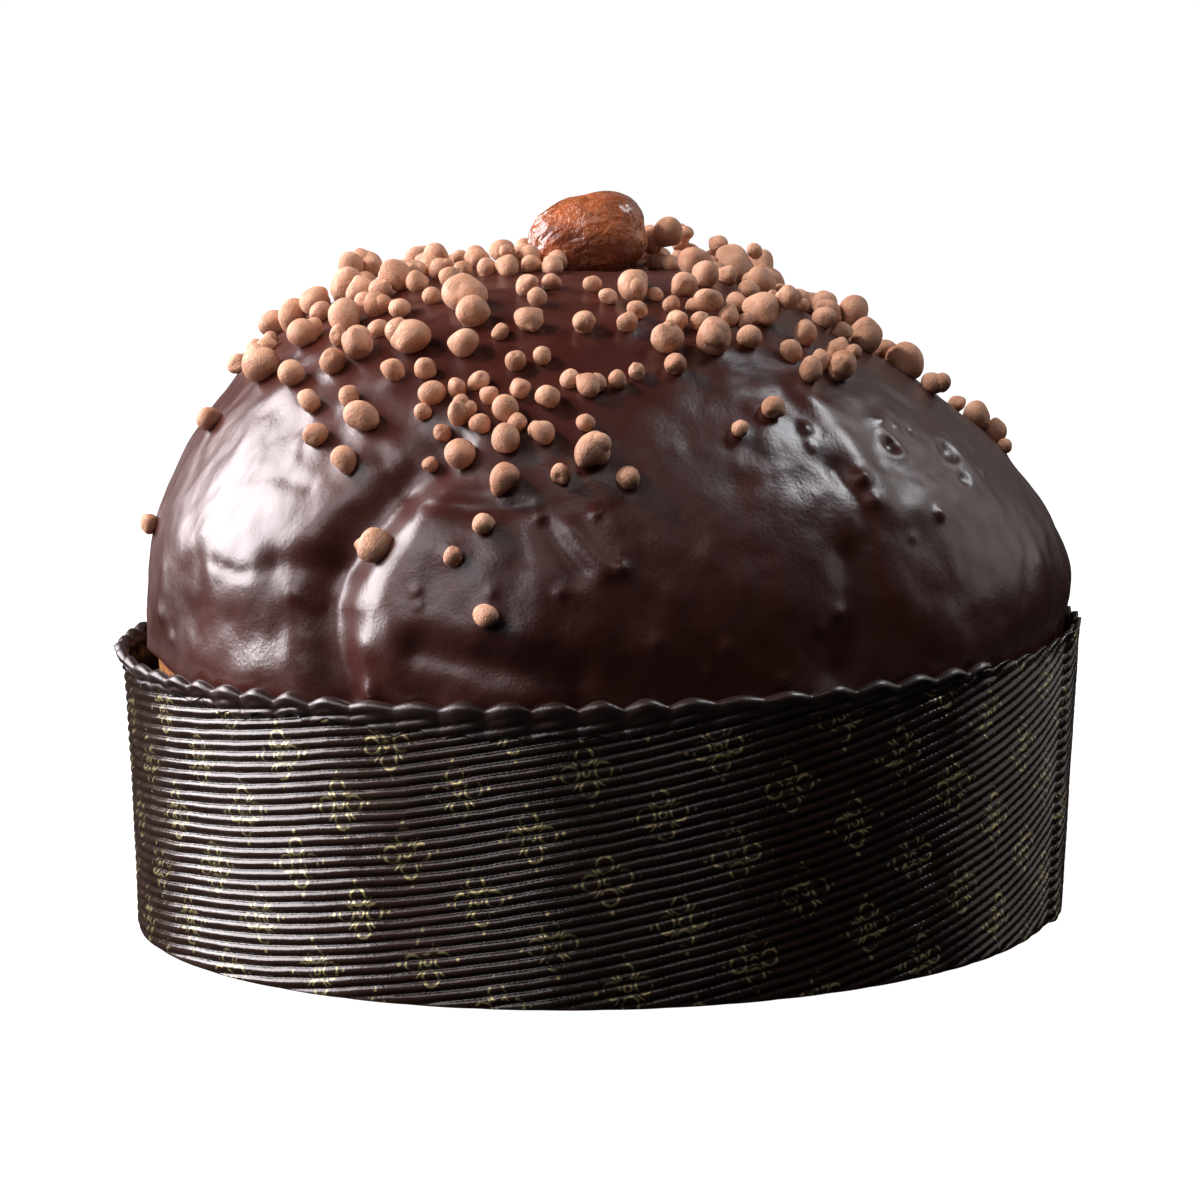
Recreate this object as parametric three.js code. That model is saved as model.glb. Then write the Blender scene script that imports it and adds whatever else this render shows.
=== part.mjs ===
// Panettone with a poured chocolate glaze, crunchy pearls and a candied chestnut,
// baked in a round mould of corrugated paper.
// Millimetres, +Z up. The origin is the middle of the underside of the paper mould.
// Azimuth 0 faces -Y and grows towards +X. Elevation is the angle above the dome centre.

import * as THREE from "three";
import { mergeVertices } from "three/addons/utils/BufferGeometryUtils.js";

// ---------------------------------------------------------------- driving dimensions

const GAP = 0.3; // left between pieces that touch

// Paper mould
const RIM_RADIUS = 105; // to the tips of the ridges, at the rim
const FOOT_RADIUS = 102.6; // to the tips of the ridges, at the foot
const WALL_HEIGHT = 61.8;
const RIM_TILT = 1.2; // the right side of the rim is this much higher, the left side lower
const RIM_FLARE = 0.8; // the left side of the rim is pushed out by this much
const FLARE_AZIMUTH = -90;
const FLARE_SPREAD = 38;
const RIDGE_COUNT = 27; // ridges from foot to rim
const RIDGE_DEPTH = 0.9;
const BACKING = 0.5; // flat liner behind the ridges
const COLUMN_ANGLE = 10; // the ridges climb by one ridge in each column of this angle
const SEAM_AZIMUTH = 73; // the strip starts here, lapped over its other end
const LAP_COLUMNS = 1;
const LAP_STEP = 1.9; // the end under the lap is set back by this much
const BASE_THICKNESS = 0.8;
const LEAN = 1.65; // the mould stands askew, its foot this far towards -X of its rim

// Chocolate on the rim
const RIM_COAT = 0.8;
const RIM_COAT_HEIGHT = 4.6;
const COAT_START = -200; // azimuths of its two ends
const COAT_END = 48;
const SCALLOP_COUNT = 68;
const SCALLOP_HEIGHT = 0.5;
const LIP_THICKNESS = 0.6;

// Dome
const DOME_CENTRE_Z = 60;
const GLAZE_THICKNESS = 2;
const DOME_COLUMNS = 48;
const DOME_ROWS = [-1.5, 0.6, 2.6, 5.5, 9, 13, 18, 24, 31, 38, 46, 54, 62, 70, 77, 82, 86];
const SIDE_CLEARANCE = 0.6; // between the loaf and the mould

// Distance from the dome centre to the glaze, by elevation
const DOME_OUTLINE = [
  [-6, 101.6],
  [3, 103.2],
  [9, 103.8],
  [16, 103.2],
  [24, 101.6],
  [33, 99.6],
  [42, 97],
  [52, 93.2],
  [62, 89.3],
  [75, 86],
  [90, 84.3],
];

// Swells and hollows of the dome: azimuth, elevation, spread in azimuth, spread in elevation, height
const DOME_LUMPS = [
  [98, 44, 58, 26, -9], // flat right shoulder
  [98, 10, 30, 12, 2.8], // bulge over the rim on the right
  [-98, 2, 45, 16, -3], // sunken side on the left
  [-92, 50, 40, 14, 1.5], // left shoulder
  [-52, 16, 16, 16, 2], // left lobe
  [-31, 10, 6, 14, -2.5], // fold between the left and middle lobes
  [-14, 10, 14, 14, 2], // middle lobe
  [12, 18, 12, 20, -1],
  [31, 8, 6, 12, -2], // fold between the middle and right lobes
  [52, 18, 16, 14, 1.5], // right lobe
  [140, 14, 18, 14, 1.6], // lobes and folds of the back
  [165, 10, 6, 14, -2.2],
  [-165, 16, 15, 16, 1.8],
  [-135, 9, 6, 13, -2],
];
const NEST_DEPTH = 7; // hollow under the chestnut
const NEST_SPREAD = 9;

// Candied chestnut
const CHESTNUT_HALF_SIZE = [13.2, 10.4, 9.2];
const CHESTNUT_CENTRE = [-2.7, 0, 149.8];
const CHESTNUT_TILT = 15;

// Crunchy pearls of the glaze: azimuth, elevation, radius
const PEARLS = [
  // crown, in front
  [10, 62, 3.2],
  [-34, 57, 3.8],
  [-14, 52, 2.6],
  [-3, 52, 2.3],
  [13, 48, 3],
  [-36, 47, 3.6],
  [-24, 46.5, 2.9],
  [13, 43.5, 2.2],
  [22, 47.5, 3.2],
  [30, 48, 2.5],
  [40, 54, 3.8],
  [46, 49, 2.7],
  [46, 42, 3],
  [37, 41, 2.6],
  // trail down the middle
  [-14, 44, 2.2],
  [-1.5, 39.5, 2.5],
  [-7.5, 37.5, 2.6],
  [-13.5, 36, 2.6],
  [-20, 35.5, 2.6],
  [-25.5, 38, 2.5],
  [-7.5, 32.5, 2.4],
  [-12.5, 31.5, 2.7],
  [-18, 30, 3.1],
  [-1, 30, 3.2],
  [-12, 26.5, 3],
  [3.5, 27, 2.2],
  // stray ones on the lobes
  [-27.5, 18, 2.8],
  [-14, 21, 2.2],
  [-13, 11, 2.1],
  [-36, 34, 3],
  [-35.5, 28.5, 2.4],
  [-42, 31, 2.4],
  [-47, 35.5, 2.4],
  [-73, 31, 2.4],
  [26, 35.5, 2.3],
  // left shoulder
  [-49, 42, 2.8],
  [-56, 39, 2.9],
  [-68, 39.5, 3.7],
  [-66, 45.5, 3.2],
  [-84, 50.5, 3.4],
  [-92, 44.5, 3.3],
  // right shoulder
  [76, 48, 3.6],
  [82, 41.5, 3.4],
  [68, 64, 3.2],
  [60, 73, 3],
  [99, 64, 3.5],
  [97, 28.5, 2.8],
  // back
  [130, 55, 3.4],
  [150, 46, 3],
  [175, 52, 3.5],
  [-168, 38, 2.7],
  [-145, 50, 3.2],
  [-120, 42, 2.9],
  [160, 30, 2.4],
];

// ---------------------------------------------------------------- helpers

const radians = THREE.MathUtils.degToRad;

// Point at an azimuth in degrees, a distance from the axis and a height.
// Below the rim the axis leans with the mould.
function aroundAxis(azimuth, radius, z) {
  const angle = radians(azimuth);
  const shift = LEAN * Math.max(0, 1 - z / WALL_HEIGHT);
  return new THREE.Vector3(radius * Math.sin(angle) - shift, -radius * Math.cos(angle), z);
}

// Azimuth difference, between -180 and 180 degrees.
function turnBetween(azimuth, other) {
  return THREE.MathUtils.euclideanModulo(azimuth - other + 180, 360) - 180;
}

function bell(distance, spread) {
  return Math.exp(-((distance / spread) ** 2));
}

// Mesh geometry from points and triangles that share them.
function solidFrom(points, triangles) {
  const geometry = new THREE.BufferGeometry().setFromPoints(points);
  geometry.setIndex(triangles.flat());
  geometry.computeVertexNormals();
  return geometry;
}

// Two triangles for the quad a b c d, whose corners run anticlockwise seen from outside.
function quad(a, b, c, d) {
  return [
    [a, b, c],
    [a, c, d],
  ];
}

// Closed surface from rings of equal length, lowest first, with a point at each end.
function closedFromRings(rings, bottomPoint, topPoint) {
  const columns = rings[0].length;
  const points = [...rings.flat(), bottomPoint, topPoint];
  const bottom = points.length - 2;
  const top = points.length - 1;
  const lastRing = (rings.length - 1) * columns;
  const triangles = [];
  for (let column = 0; column < columns; column += 1) {
    const next = (column + 1) % columns;
    triangles.push([bottom, next, column]);
    for (let start = 0; start < lastRing; start += columns) {
      const above = start + columns;
      triangles.push(...quad(start + column, start + next, above + next, above + column));
    }
    triangles.push([lastRing + column, lastRing + next, top]);
  }
  return solidFrom(points, triangles);
}

// Closed strip from loops that each hold one section, in order along it.
// A loop's last point is in plain sight of all its other points.
function closedFromSections(sections) {
  const size = sections[0].length;
  const lastLoop = (sections.length - 1) * size;
  const triangles = [];
  for (let here = 0; here < lastLoop; here += size) {
    const beyond = here + size;
    for (let corner = 0; corner < size; corner += 1) {
      const next = (corner + 1) % size;
      triangles.push(...quad(here + corner, beyond + corner, beyond + next, here + next));
    }
  }
  const hub = size - 1;
  for (let corner = 0; corner < hub - 1; corner += 1) {
    triangles.push([hub, corner, corner + 1]);
    triangles.push([lastLoop + hub, lastLoop + corner + 1, lastLoop + corner]);
  }
  return solidFrom(sections.flat(), triangles);
}

function namedMesh(name, geometry, colour, roughness) {
  const material = new THREE.MeshStandardMaterial({ color: colour, roughness, metalness: 0 });
  const mesh = new THREE.Mesh(geometry, material);
  mesh.name = name;
  return mesh;
}

// ---------------------------------------------------------------- paper mould

function rimHeight(azimuth) {
  return WALL_HEIGHT + RIM_TILT * Math.sin(radians(azimuth));
}

// Radius to the tips of the ridges.
function mouldRadius(azimuth, z) {
  const rise = z / rimHeight(azimuth);
  const flare = RIM_FLARE * bell(turnBetween(azimuth, FLARE_AZIMUTH), FLARE_SPREAD);
  return FOOT_RADIUS + (RIM_RADIUS - FOOT_RADIUS) * rise + flare * rise ** 3;
}

// Offset of the strip from the mould's radius, by the angle left to its end under the lap.
function lapOffset(angleLeft) {
  const lap = LAP_COLUMNS * COLUMN_ANGLE;
  const ramp = 3 * COLUMN_ANGLE;
  return LAP_STEP * (THREE.MathUtils.smoothstep(angleLeft, lap, lap + ramp) - 1);
}

// Angle left to the strip's end from an azimuth, on the innermost layer there.
function angleToEnd(azimuth) {
  const end = SEAM_AZIMUTH + LAP_COLUMNS * COLUMN_ANGLE;
  return THREE.MathUtils.euclideanModulo(end - azimuth, 360);
}

// The wall is one strip. Its outer face is folded into ridges that climb round the mould.
// Even rows are ridge tips and odd rows are valleys, and a tip in one column
// joins the tip two rows higher in the next.
function paperWall() {
  const columns = 360 / COLUMN_ANGLE + LAP_COLUMNS;
  const rows = 2 * RIDGE_COUNT;
  const liner = RIDGE_DEPTH + BACKING;
  const points = [];
  for (let column = 0; column <= columns; column += 1) {
    const azimuth = SEAM_AZIMUTH + column * COLUMN_ANGLE;
    const offset = lapOffset((columns - column) * COLUMN_ANGLE);
    const height = rimHeight(azimuth);
    for (let row = 0; row <= rows; row += 1) {
      const z = (height * row) / rows;
      const fold = row % 2 === 0 ? 0 : RIDGE_DEPTH;
      points.push(aroundAxis(azimuth, mouldRadius(azimuth, z) + offset - fold, z));
    }
    points.push(aroundAxis(azimuth, mouldRadius(azimuth, height) + offset - liner, height));
    points.push(aroundAxis(azimuth, mouldRadius(azimuth, 0) + offset - liner, 0));
  }

  const stride = rows + 3;
  const innerTop = rows + 1;
  const innerFoot = rows + 2;
  const triangles = [];
  for (let column = 0; column < columns; column += 1) {
    const here = column * stride;
    const next = here + stride;
    triangles.push([here, next, next + 1], [here, next + 1, next + 2]);
    for (let row = 0; row < rows - 2; row += 1) {
      triangles.push(...quad(here + row, next + row + 2, next + row + 3, here + row + 1));
    }
    triangles.push([here + rows - 2, next + rows, here + rows - 1]);
    triangles.push([here + rows - 1, next + rows, here + rows]);
    triangles.push(...quad(here + rows, next + rows, next + innerTop, here + innerTop));
    triangles.push(...quad(here + innerTop, next + innerTop, next + innerFoot, here + innerFoot));
    triangles.push(...quad(here + innerFoot, next + innerFoot, next, here));
  }

  // The two cut ends of the strip
  const section = [];
  for (let corner = 0; corner < stride; corner += 1) {
    const point = points[corner];
    section.push(new THREE.Vector2(Math.hypot(point.x, point.y), point.z));
  }
  const lastColumn = columns * stride;
  for (const [a, b, c] of THREE.ShapeUtils.triangulateShape(section, [])) {
    triangles.push([a, b, c], [lastColumn + a, lastColumn + c, lastColumn + b]);
  }
  return solidFrom(points, triangles);
}

function paperBase() {
  const columns = 2 * DOME_COLUMNS;
  const rings = [0, BASE_THICKNESS].map((z) => {
    const ring = [];
    for (let column = 0; column < columns; column += 1) {
      const azimuth = (360 * column) / columns;
      const tips = mouldRadius(azimuth, z) + lapOffset(angleToEnd(azimuth));
      ring.push(aroundAxis(azimuth, tips - RIDGE_DEPTH - BACKING - SIDE_CLEARANCE, z));
    }
    return ring;
  });
  const middle = new THREE.Vector3(-LEAN, 0, BASE_THICKNESS);
  return closedFromRings(rings, new THREE.Vector3(-LEAN, 0, 0), middle);
}

// Chocolate that has run over the rim: a scalloped lip with a ragged skirt outside the wall.
// It stops short of the lap, and the rim beyond it is bare paper.
function rimGlaze() {
  const step = 180 / SCALLOP_COUNT;
  const segments = Math.round((COAT_END - COAT_START) / step);
  const sections = [];
  for (let segment = 0; segment <= segments; segment += 1) {
    const azimuth = COAT_START + segment * step;
    const angle = radians(azimuth);
    const height = rimHeight(azimuth);
    const wall = mouldRadius(azimuth, height) + lapOffset(angleToEnd(azimuth));
    const ragged = Math.sin(5 * angle + 1) + 0.8 * Math.sin(11 * angle) + 0.6 * Math.sin(23 * angle + 2);
    const skirt = height - RIM_COAT_HEIGHT - ragged;
    const lip = height + GAP + LIP_THICKNESS;
    const scallop = segment % 2 === 0 ? SCALLOP_HEIGHT : -SCALLOP_HEIGHT / 2;
    sections.push([
      aroundAxis(azimuth, wall + GAP, skirt),
      aroundAxis(azimuth, wall + GAP + RIM_COAT, skirt),
      aroundAxis(azimuth, wall + GAP + RIM_COAT, lip),
      aroundAxis(azimuth, wall - RIDGE_DEPTH / 2, lip + scallop),
      aroundAxis(azimuth, wall - RIDGE_DEPTH - BACKING, lip),
      aroundAxis(azimuth, wall - RIDGE_DEPTH - BACKING, height + GAP),
      aroundAxis(azimuth, wall + GAP, height + GAP),
    ]);
  }
  return closedFromSections(sections);
}

// ---------------------------------------------------------------- dome

// Outline distance at an elevation, on a smooth curve through the outline's points.
function outlineDistance(elevation) {
  let index = 1;
  while (index < DOME_OUTLINE.length - 1 && DOME_OUTLINE[index][0] < elevation) {
    index += 1;
  }
  const [lowElevation, lowDistance] = DOME_OUTLINE[index - 1];
  const [highElevation, highDistance] = DOME_OUTLINE[index];
  const share = (elevation - lowElevation) / (highElevation - lowElevation);
  return THREE.MathUtils.lerp(lowDistance, highDistance, share);
}

// Largest distance from the axis that clears the rim: the dome is tucked in below it
// and may bulge over it above.
function roomInMould(azimuth, z) {
  const tips = mouldRadius(azimuth, Math.min(z, rimHeight(azimuth))) + lapOffset(angleToEnd(azimuth));
  const inside = tips - RIDGE_DEPTH - BACKING;
  const aboveRim = Math.max(0, z - rimHeight(azimuth) - 1.7);
  return inside - SIDE_CLEARANCE - GAP + 1.5 * aboveRim;
}

// Point on the glaze, or under it by a depth.
function domePoint(azimuth, elevation, depth) {
  let distance = outlineDistance(elevation);
  for (const [lumpAzimuth, lumpElevation, width, height, size] of DOME_LUMPS) {
    const across = bell(turnBetween(azimuth, lumpAzimuth), width);
    distance += size * across * bell(elevation - lumpElevation, height);
  }
  distance -= NEST_DEPTH * bell(90 - elevation, NEST_SPREAD);
  const slope = radians(elevation);
  const z = DOME_CENTRE_Z + distance * Math.sin(slope);
  const room = roomInMould(azimuth, z) / Math.cos(slope);
  const reach = Math.min(distance, room) - depth;
  return aroundAxis(azimuth, reach * Math.cos(slope), DOME_CENTRE_Z + reach * Math.sin(slope));
}

function domeRings(depth) {
  return DOME_ROWS.map((elevation) => {
    const ring = [];
    for (let column = 0; column < DOME_COLUMNS; column += 1) {
      ring.push(domePoint((360 * column) / DOME_COLUMNS, elevation, depth));
    }
    return ring;
  });
}

// The glaze is a thin shell, open below, so its rings run up the outside and down the inside.
function chocolateGlaze() {
  const outside = domeRings(0);
  const inside = domeRings(GLAZE_THICKNESS).reverse();
  const columns = DOME_COLUMNS;
  const points = [...outside.flat(), ...inside.flat()];
  const outerTop = points.push(domePoint(0, 90, 0)) - 1;
  const innerTop = points.push(domePoint(0, 90, GLAZE_THICKNESS)) - 1;
  const rows = DOME_ROWS.length;
  const triangles = [];
  for (let column = 0; column < columns; column += 1) {
    const next = (column + 1) % columns;
    for (let row = 0; row < 2 * rows; row += 1) {
      const here = row * columns;
      const above = ((row + 1) % (2 * rows)) * columns;
      if (row < rows - 1) {
        triangles.push(...quad(here + column, here + next, above + next, above + column));
      } else if (row > rows - 1) {
        // Turned by one corner, so the inside is folded along the same diagonals as the loaf.
        triangles.push(...quad(here + next, above + next, above + column, here + column));
      }
    }
    const outerRing = (rows - 1) * columns;
    triangles.push([outerRing + column, outerRing + next, outerTop]);
    triangles.push([outerRing + columns + next, outerRing + columns + column, innerTop]);
  }
  return solidFrom(points, triangles);
}

// The baked dough fills the mould and the glaze.
function loaf() {
  const depth = GLAZE_THICKNESS + GAP;
  const bottom = BASE_THICKNESS + GAP;
  const sides = [
    [bottom, 4.5],
    [4, 1],
    [25, 0],
    [45, 0],
  ];
  const rings = sides.map(([z, inset]) => {
    const ring = [];
    for (let column = 0; column < DOME_COLUMNS; column += 1) {
      const azimuth = (360 * column) / DOME_COLUMNS;
      ring.push(aroundAxis(azimuth, roomInMould(azimuth, z) - inset, z));
    }
    return ring;
  });
  rings.push(...domeRings(depth));
  return closedFromRings(rings, new THREE.Vector3(-LEAN, 0, bottom), domePoint(0, 90, depth));
}

// ---------------------------------------------------------------- toppings

function chestnut() {
  const lump = new THREE.IcosahedronGeometry(1, 3);
  lump.scale(...CHESTNUT_HALF_SIZE);
  lump.rotateY(radians(-CHESTNUT_TILT));
  return lump;
}

// A pearl sits on the glaze, a little longer one way than the other.
function pearl(index, [azimuth, elevation, radius]) {
  const lump = new THREE.OctahedronGeometry(radius, 1);
  const stretch = 0.07 * Math.sin(2.4 * index);
  lump.scale(1 + stretch, 1 - stretch, 1);
  lump.rotateZ(1.7 * index);
  lump.rotateX(0.9 * index);
  const name = `crunch_pearl_${String(index + 1).padStart(2, "0")}`;
  const mesh = namedMesh(name, lump, 0xc99a78, 0.85);
  mesh.position.copy(domePoint(azimuth, elevation, -(radius * (1 + Math.abs(stretch)) + 2 * GAP)));
  return mesh;
}

// ---------------------------------------------------------------- assembly

function mergedMesh(name, geometry, colour, roughness) {
  geometry.deleteAttribute("normal");
  geometry.deleteAttribute("uv");
  const merged = mergeVertices(geometry);
  merged.computeVertexNormals();
  return namedMesh(name, merged, colour, roughness);
}

const panettone = new THREE.Group();
panettone.add(namedMesh("paper_wall", paperWall(), 0x2c211d, 0.45));
panettone.add(mergedMesh("paper_base", paperBase(), 0x4a3426, 0.8));
panettone.add(namedMesh("rim_glaze", rimGlaze(), 0x35221d, 0.3));
panettone.add(namedMesh("loaf", loaf(), 0xb8743a, 0.8));
panettone.add(namedMesh("chocolate_glaze", chocolateGlaze(), 0x3a1f1a, 0.25));

const nut = mergedMesh("candied_chestnut", chestnut(), 0x9a4a22, 0.3);
nut.position.set(...CHESTNUT_CENTRE);
panettone.add(nut);

PEARLS.forEach((place, index) => panettone.add(pearl(index, place)));

// The lapped seam and the flared rim aren't opposite each other,
// so the whole part is moved to stand centred on the origin.
const middle = new THREE.Box3().setFromObject(panettone).getCenter(new THREE.Vector3());
panettone.position.set(-middle.x, -middle.y, 0);

export default panettone;
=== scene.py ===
"""A chocolate-glazed panettone in a corrugated paper mould, with crunchy pearls and a chestnut.

Sizes are in millimetres and angles in degrees until a mesh is made, which is in metres.
Azimuth 0 faces -Y and grows towards +X. Elevation is the angle above the dome's centre.
"""

import math

import bmesh
import bpy
import numpy as np
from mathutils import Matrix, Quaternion, Vector, noise
from mathutils.bvhtree import BVHTree


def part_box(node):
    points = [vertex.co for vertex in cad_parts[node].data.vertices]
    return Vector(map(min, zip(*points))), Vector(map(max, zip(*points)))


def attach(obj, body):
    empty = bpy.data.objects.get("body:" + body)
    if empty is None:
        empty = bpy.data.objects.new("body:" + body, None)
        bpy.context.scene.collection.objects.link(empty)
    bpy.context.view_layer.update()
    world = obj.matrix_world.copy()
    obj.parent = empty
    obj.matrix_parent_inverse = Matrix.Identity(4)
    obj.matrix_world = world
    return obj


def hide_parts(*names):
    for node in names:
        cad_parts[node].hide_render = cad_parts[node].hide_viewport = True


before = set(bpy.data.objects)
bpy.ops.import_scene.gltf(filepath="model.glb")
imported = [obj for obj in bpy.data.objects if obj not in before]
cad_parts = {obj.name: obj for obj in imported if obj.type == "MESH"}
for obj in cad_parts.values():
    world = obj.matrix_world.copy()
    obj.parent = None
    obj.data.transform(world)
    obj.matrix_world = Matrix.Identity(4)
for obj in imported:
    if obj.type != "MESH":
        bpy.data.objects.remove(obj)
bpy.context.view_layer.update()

MM = 0.001
SEED = 20

# ---------------------------------------------------------------- measures of mould and dome

base_low, base_high = (np.array(corner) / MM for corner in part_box("paper_base"))
_, wall_high = (np.array(corner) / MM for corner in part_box("paper_wall"))
LEAN = 1.65  # the mould stands askew, its foot this far towards -X of its rim
AXIS = (base_low + base_high)[:2] / 2 + [LEAN, 0]
BASE_RADIUS = (base_high - base_low)[1] / 2
BASE_TOP = base_high[2]
RIM_TILT = 1.2  # the rim is this much higher at the right than in the middle
RIM_MEAN_HEIGHT = wall_high[2] - RIM_TILT
RIM_RADIUS = 105
FOOT_RADIUS = 102.6
RIM_FLARE = 0.8  # the rim is bent out by this much at the left
FLARE_AZIMUTH = -90
FLARE_SPREAD = 38

# Paper strip
RIDGE_COUNT = 27
RIDGE_DEPTH = 0.85
RIDGE_DROOP = 0.05  # the ridges sag, so their upper faces are the longer ones
RIDGE_CLIMB = 0.15  # slope of the ridges
CLIMB_SWING = 0.085  # they climb more at the right and less at the left
CLIMB_SWING_AZIMUTH = -18
SEAM_AZIMUTH = 73  # the strip starts here, lapped over its other end
LAP_ANGLE = 10
LAP_RAMP = 30  # the under layer drops back over this angle
LAP_STEP = 1.2
PAPER_THICKNESS = 0.5
SCALLOPS = 68
RIM_WAVE = 0.95  # height of the scallops

# Dome
DOME_CENTRE_Z = 60
GLAZE_THICKNESS = 2
ANGLE_STEP = 0.5  # of the grid that holds the glaze
LOWEST_ELEVATION = -1.0


# ---------------------------------------------------------------- small helpers


def bell(distance, spread):
    return np.exp(-((distance / spread) ** 2))


def turn_between(azimuth, other):
    return (azimuth - other + 180) % 360 - 180


def smoothstep(low, high, value):
    share = np.clip((value - low) / (high - low), 0, 1)
    return share * share * (3 - 2 * share)


def around_axis(azimuth, radius, z):
    """Points at azimuths, distances from the mould's leaning axis and heights."""
    angle = np.radians(azimuth)
    x = AXIS[0] + radius * np.sin(angle) - LEAN * np.maximum(0, 1 - z / RIM_MEAN_HEIGHT)
    y = AXIS[1] - radius * np.cos(angle)
    return np.stack(np.broadcast_arrays(x, y, z), -1)


def noise_at(points, size, seed=0.0):
    """Smooth noise from -1 to 1 at points, with features of a size."""
    shift = Vector((seed * 7.3, seed * 3.1, seed * 5.7))
    flat = np.asarray(points).reshape(-1, 3) / size
    values = [noise.noise(Vector(point) + shift) for point in flat]
    return np.array(values).reshape(np.shape(points)[:-1])


def layered_noise(points, layers):
    """Sum of noises, each given as its amount, the size of its features and its seed."""
    return sum(amount * noise_at(points, size, seed) for amount, size, seed in layers)


def blurred(field, spread):
    """A field over elevation and azimuth, blurred by a spread in degrees.

    The azimuth wraps round.
    """
    reach = int(3 * spread / ANGLE_STEP)
    kernel = bell(np.arange(-reach, reach + 1) * ANGLE_STEP, spread)
    kernel /= kernel.sum()
    wide = np.concatenate([field[:, -reach:], field, field[:, :reach]], 1)
    across = np.apply_along_axis(np.convolve, 1, wide, kernel, "valid")
    tall = np.pad(across, ((reach, reach), (0, 0)), mode="reflect", reflect_type="odd")
    return np.apply_along_axis(np.convolve, 0, tall, kernel, "valid")


def new_mesh(name, points, faces):
    """A smooth mesh object from points in millimetres and a list of face arrays."""
    mesh = bpy.data.meshes.new(name)
    mesh.vertices.add(len(points))
    mesh.vertices.foreach_set("co", (np.asarray(points) * MM).astype(np.float32).ravel())
    corners = np.concatenate([np.asarray(part).ravel() for part in faces])
    sizes = np.concatenate([np.full(len(part), np.shape(part)[1]) for part in faces])
    starts = np.concatenate([[0], np.cumsum(sizes)[:-1]])
    mesh.loops.add(len(corners))
    mesh.loops.foreach_set("vertex_index", corners.astype(np.int32))
    mesh.polygons.add(len(sizes))
    mesh.polygons.foreach_set("loop_start", starts.astype(np.int32))
    mesh.polygons.foreach_set("use_smooth", np.ones(len(sizes), bool))
    mesh.update(calc_edges=True)
    mesh.validate()
    piece = bpy.data.objects.new(name, mesh)
    bpy.context.scene.collection.objects.link(piece)
    return piece


def grid_faces(rows, columns, wrap_columns=False, wrap_rows=False):
    """Quads of a grid whose points run column by column along each row."""
    row = np.arange(rows if wrap_rows else rows - 1)
    column = np.arange(columns if wrap_columns else columns - 1)
    row, column = np.meshgrid(row, column, indexing="ij")
    next_row = (row + 1) % rows
    next_column = (column + 1) % columns
    corners = [
        row * columns + column,
        row * columns + next_column,
        next_row * columns + next_column,
        next_row * columns + column,
    ]
    return np.stack(corners, -1).reshape(-1, 4)


def finish_piece(piece, material, slot, *nodes):
    piece.data.materials.append(material)
    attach(piece, "root")
    if nodes:
        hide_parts(*nodes)


# ---------------------------------------------------------------- material helpers


class Graph:
    """Adds nodes to a node tree and links them."""

    def __init__(self, tree):
        self.tree = tree

    def plug(self, value, socket):
        if isinstance(value, bpy.types.NodeSocket):
            self.tree.links.new(value, socket)
        else:
            socket.default_value = value

    def add(self, kind, sockets=None, **settings):
        made = self.tree.nodes.new(kind)
        for key, value in settings.items():
            setattr(made, key, value)
        for name, value in (sockets or {}).items():
            self.plug(value, made.inputs[name])
        return made

    def math(self, operation, *values, clamp=False):
        made = self.add("ShaderNodeMath", operation=operation, use_clamp=clamp)
        for value, socket in zip(values, made.inputs):
            self.plug(value, socket)
        return made.outputs[0]

    def noise(self, vector, scale, detail=2.0, roughness=0.5):
        sockets = {"Vector": vector, "Scale": scale, "Detail": detail, "Roughness": roughness}
        return self.add("ShaderNodeTexNoise", sockets).outputs["Fac"]

    def remap(self, value, low, high, to_low=0.0, to_high=1.0):
        sockets = {
            "Value": value,
            "From Min": low,
            "From Max": high,
            "To Min": to_low,
            "To Max": to_high,
        }
        return self.add("ShaderNodeMapRange", sockets).outputs["Result"]

    def mix(self, fac, first, second):
        made = self.add("ShaderNodeMix", data_type="RGBA")
        self.plug(fac, made.inputs[0])
        self.plug(first, made.inputs[6])
        self.plug(second, made.inputs[7])
        return made.outputs[2]

    def bump(self, height, strength, distance):
        sockets = {"Height": height, "Strength": strength, "Distance": distance}
        return self.add("ShaderNodeBump", sockets).outputs["Normal"]

    def group(self, tree, sockets):
        return self.add("ShaderNodeGroup", sockets, node_tree=tree)


def new_group(name, inputs, outputs):
    """An empty node group with named inputs (name, kind, default) and outputs (name, kind)."""
    tree = bpy.data.node_groups.new(name, "ShaderNodeTree")
    for label, kind, default in inputs:
        socket = tree.interface.new_socket(label, in_out="INPUT", socket_type=kind)
        if default is not None:
            socket.default_value = default
    for label, kind in outputs:
        tree.interface.new_socket(label, in_out="OUTPUT", socket_type=kind)
    graph = Graph(tree)
    return graph, graph.add("NodeGroupInput").outputs, graph.add("NodeGroupOutput").inputs


def uneven_tone_group():
    """Two colours blended in soft patches, with fine specks of the second."""
    inputs = [
        ("Colour", "NodeSocketColor", None),
        ("Patch Colour", "NodeSocketColor", None),
        ("Patch Scale", "NodeSocketFloat", 60.0),
        ("Speck Scale", "NodeSocketFloat", 900.0),
    ]
    graph, given, result = new_group("Uneven tone", inputs, [("Colour", "NodeSocketColor")])
    place = graph.add("ShaderNodeTexCoord").outputs["Object"]
    patches = graph.remap(graph.noise(place, given["Patch Scale"], 3.0), 0.35, 0.68)
    specks = graph.remap(graph.noise(place, given["Speck Scale"], 1.0), 0.6, 0.75, 0.0, 0.6)
    blend = graph.math("ADD", patches, specks, clamp=True)
    graph.plug(graph.mix(blend, given["Colour"], given["Patch Colour"]), result["Colour"])
    return graph.tree


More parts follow.
